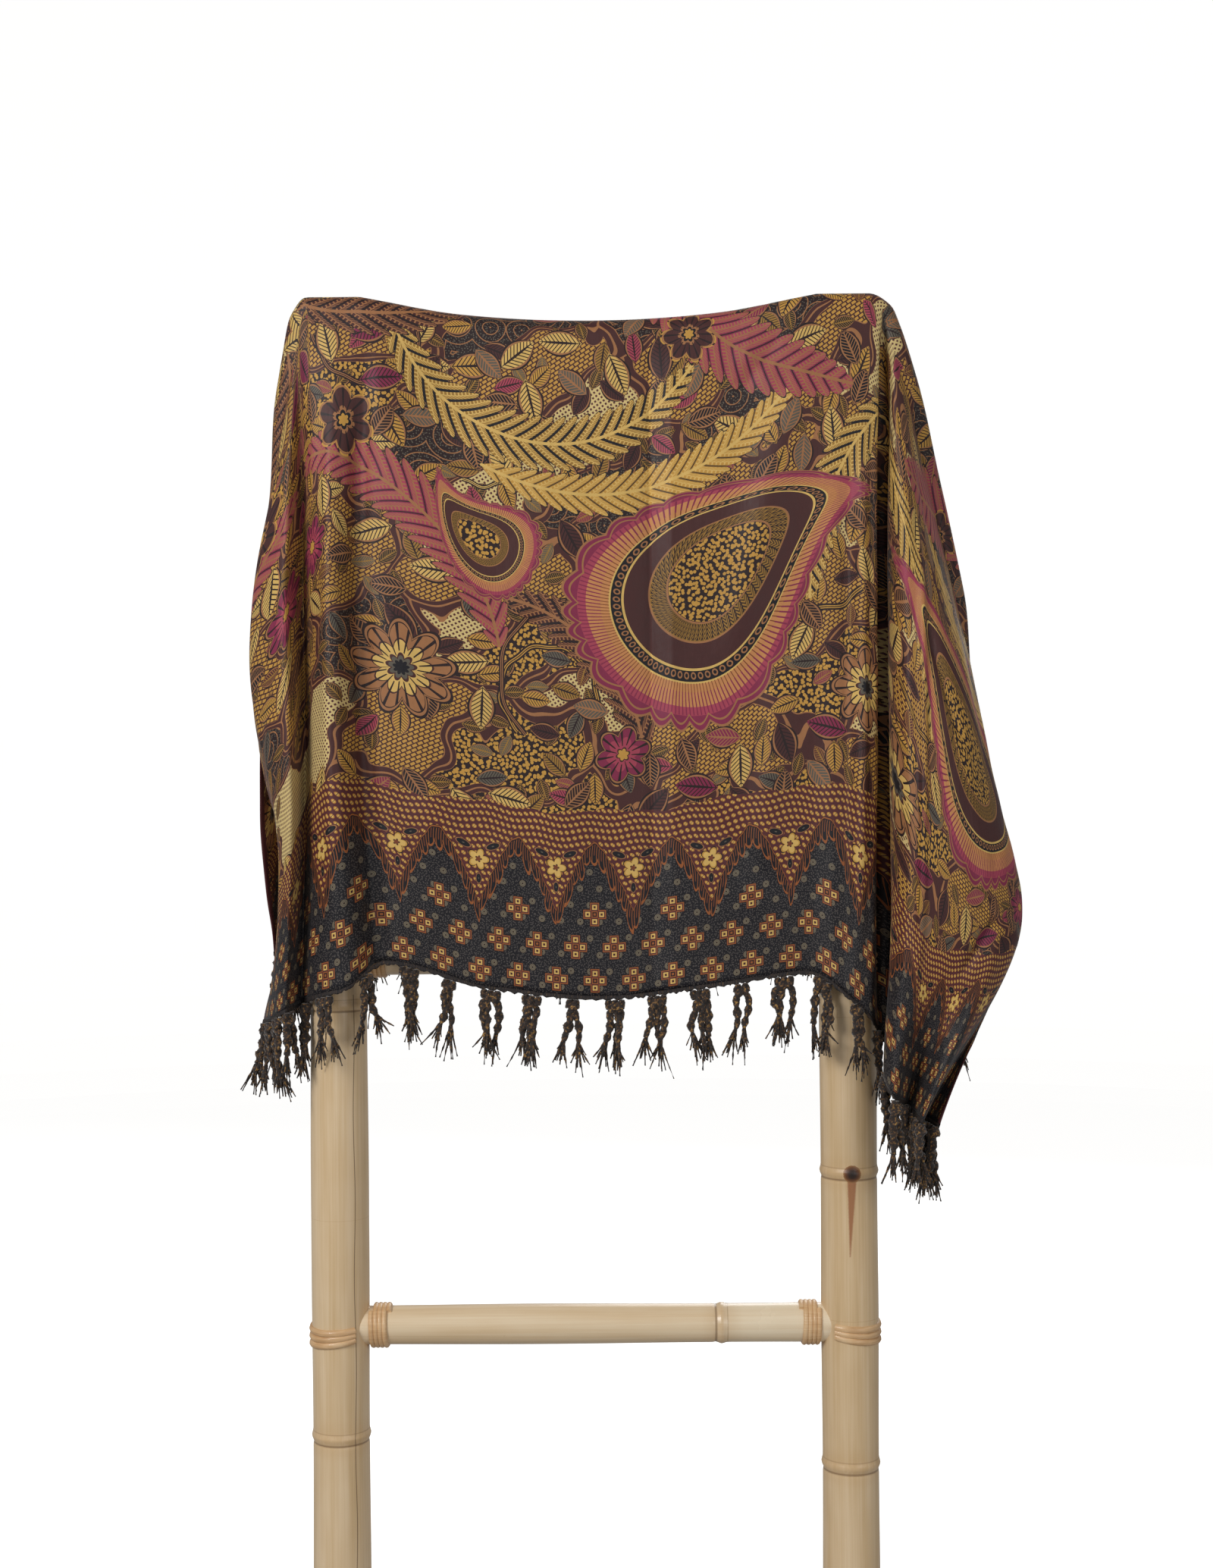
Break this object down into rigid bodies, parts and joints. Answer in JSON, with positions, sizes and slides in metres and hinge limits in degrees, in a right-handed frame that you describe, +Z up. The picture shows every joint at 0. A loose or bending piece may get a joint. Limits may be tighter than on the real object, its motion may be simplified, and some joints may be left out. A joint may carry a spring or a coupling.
{
  "type": "batik sarong on bamboo ladder rack",
  "caption": "Fringed rectangular batik sarong draped over the post tops of an upright bamboo ladder rack, its wide ends falling in folds beside the posts",
  "frame": {"origin": "on the floor, under the middle of the whole part's box; the ladder's own middle is 38 mm to the left of it, because the cloth hangs further past the right post", "axes": "+Z up, -Y is the front of the draped cloth, +X is the viewer's right"},
  "size_m": [0.7243, 0.42, 1.5197],
  "materials": {
    "batik": "soft satin rayon with a dense gold, maroon and navy batik print",
    "fringe_yarn": "twisted dark brown yarn with gold flecks",
    "bamboo": "pale tan bamboo, satin",
    "rattan": "split rattan binding, satin",
    "foot_wood": "plain pale wood, satin"
  },
  "bodies": {
    "root": {"sarong_cloth": "batik", "fringe_front": "fringe_yarn", "fringe_back": "fringe_yarn", "post_left": "bamboo", "post_right": "bamboo", "rung_1": "bamboo", "rung_2": "bamboo", "rung_3": "bamboo", "rung_4": "bamboo", "collar_1_left": "rattan", "collar_1_right": "rattan", "collar_2_left": "rattan", "collar_2_right": "rattan", "collar_3_left": "rattan", "collar_3_right": "rattan", "collar_4_left": "rattan", "collar_4_right": "rattan", "band_1_left": "rattan", "band_1_right": "rattan", "band_2_left": "rattan", "band_2_right": "rattan", "band_3_left": "rattan", "band_3_right": "rattan", "band_4_left": "rattan", "band_4_right": "rattan", "foot_left": "foot_wood", "foot_right": "foot_wood"}
  },
  "joints": []
}
